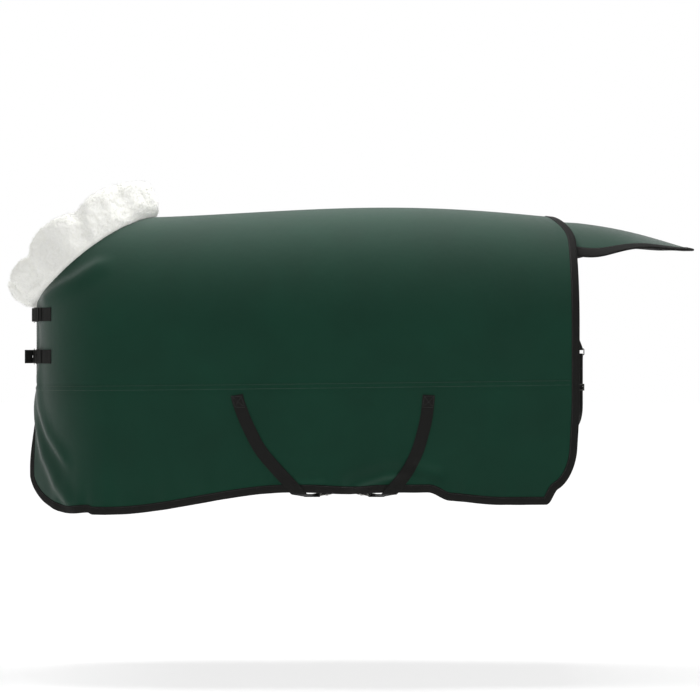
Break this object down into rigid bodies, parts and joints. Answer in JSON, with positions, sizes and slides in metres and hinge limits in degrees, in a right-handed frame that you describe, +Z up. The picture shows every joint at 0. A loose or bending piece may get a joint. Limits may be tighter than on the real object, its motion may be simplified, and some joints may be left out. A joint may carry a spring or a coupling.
{
  "type": "turnout rug",
  "caption": "Horse turnout rug with a fleece neck collar, chest buckles, crossed belly surcingles, a tail strap and a hinged tail flap, shaped as worn.",
  "frame": {"origin": "withers: the rug's top line at the back of the collar, where it lies on the horse", "axes": "+X from the withers towards the tail, -Y the horse's left side, +Z up"},
  "size_m": [2.296, 0.6374, 1.0979],
  "materials": {
    "green_shell": "smooth matte coated weave, lined",
    "white_fleece": "short curly pile",
    "black_webbing": "woven tape",
    "bright_metal": "satin nickel",
    "dark_metal": "black nickel, satin"
  },
  "bodies": {
    "rug": {"back_panel": "green_shell", "left_lower_panel": "green_shell", "right_lower_panel": "green_shell", "tail_flap_gusset": "green_shell", "neck_collar": "white_fleece", "upper_chest_tab": "black_webbing", "lower_chest_tab": "black_webbing", "upper_chest_billet": "black_webbing", "lower_chest_billet": "black_webbing", "upper_chest_keeper": "black_webbing", "lower_chest_keeper": "black_webbing", "left_front_surcingle": "black_webbing", "left_rear_surcingle": "black_webbing", "right_front_surcingle": "black_webbing", "right_rear_surcingle": "black_webbing", "left_seam_tape": "black_webbing", "right_seam_tape": "black_webbing", "edge_binding": "black_webbing", "left_ring_tab": "black_webbing", "right_ring_tab": "black_webbing", "upper_buckle_frame": "bright_metal", "lower_buckle_frame": "bright_metal", "front_slot_plate": "bright_metal", "rear_slot_plate": "bright_metal", "front_t_hook": "bright_metal", "rear_t_hook": "bright_metal"},
    "tail_flap": {"tail_flap": "green_shell", "tail_flap_binding": "black_webbing"},
    "upper_roller": {"upper_buckle_roller": "bright_metal"},
    "lower_roller": {"lower_buckle_roller": "bright_metal"},
    "upper_tongue": {"upper_buckle_tongue": "bright_metal"},
    "lower_tongue": {"lower_buckle_tongue": "bright_metal"},
    "front_slider": {"right_front_slider": "bright_metal"},
    "rear_slider": {"right_rear_slider": "bright_metal"},
    "tail_strap": {"tail_strap": "black_webbing", "left_tail_ring": "dark_metal", "right_tail_ring": "dark_metal", "snap_hook": "dark_metal", "snap_link": "dark_metal"},
    "tail_slider": {"tail_strap_slider": "dark_metal"},
    "gate": {"snap_gate": "dark_metal"}
  },
  "joints": [
    {"name": "tail_flap_lift", "type": "hinge", "parent": "rug", "child": "tail_flap", "pos_m": [1.358, 0, -0.01344], "axis": [0, 1, 0], "range_deg": [-25, 25], "deforming": ["tail_flap_gusset"]},
    {"name": "upper_tongue_swing", "type": "hinge", "parent": "rug", "child": "upper_tongue", "pos_m": [-0.39907, -0.06304, -0.331], "axis": [0, 0, 1], "range_deg": [0, 12]},
    {"name": "lower_tongue_swing", "type": "hinge", "parent": "rug", "child": "lower_tongue", "pos_m": [-0.39909, -0.0633, -0.471], "axis": [0, 0, 1], "range_deg": [0, 12]},
    {"name": "upper_roller_spin", "type": "hinge", "parent": "rug", "child": "upper_roller", "pos_m": [-0.4041, -0.03753, -0.331], "axis": [0, 0, 1], "continuous": true},
    {"name": "lower_roller_spin", "type": "hinge", "parent": "rug", "child": "lower_roller", "pos_m": [-0.40409, -0.03779, -0.471], "axis": [0, 0, 1], "continuous": true},
    {"name": "front_slider_slide", "type": "slide", "parent": "rug", "child": "front_slider", "axis": [-0.3931, 0.9195, 0], "range_m": [-0.03, 0.03]},
    {"name": "rear_slider_slide", "type": "slide", "parent": "rug", "child": "rear_slider", "axis": [0.3931, 0.9195, 0], "range_m": [-0.03, 0.03]},
    {"name": "tail_strap_swing", "type": "hinge", "parent": "rug", "child": "tail_strap", "pos_m": [1.408, -0.2595, -0.445], "axis": [0, 1, 0], "range_deg": [-45, 10], "deforming": ["left_ring_tab", "right_ring_tab"]},
    {"name": "tail_slider_slide", "type": "slide", "parent": "tail_strap", "child": "tail_slider", "axis": [0, 0, 1], "range_m": [-0.04, 0.035]},
    {"name": "snap_gate_open", "type": "hinge", "parent": "tail_strap", "child": "gate", "pos_m": [1.408, 0.268, -0.4952], "axis": [1, 0, 0], "range_deg": [0, 25], "stiffness_Nm_per_rad": 0.02}
  ]
}
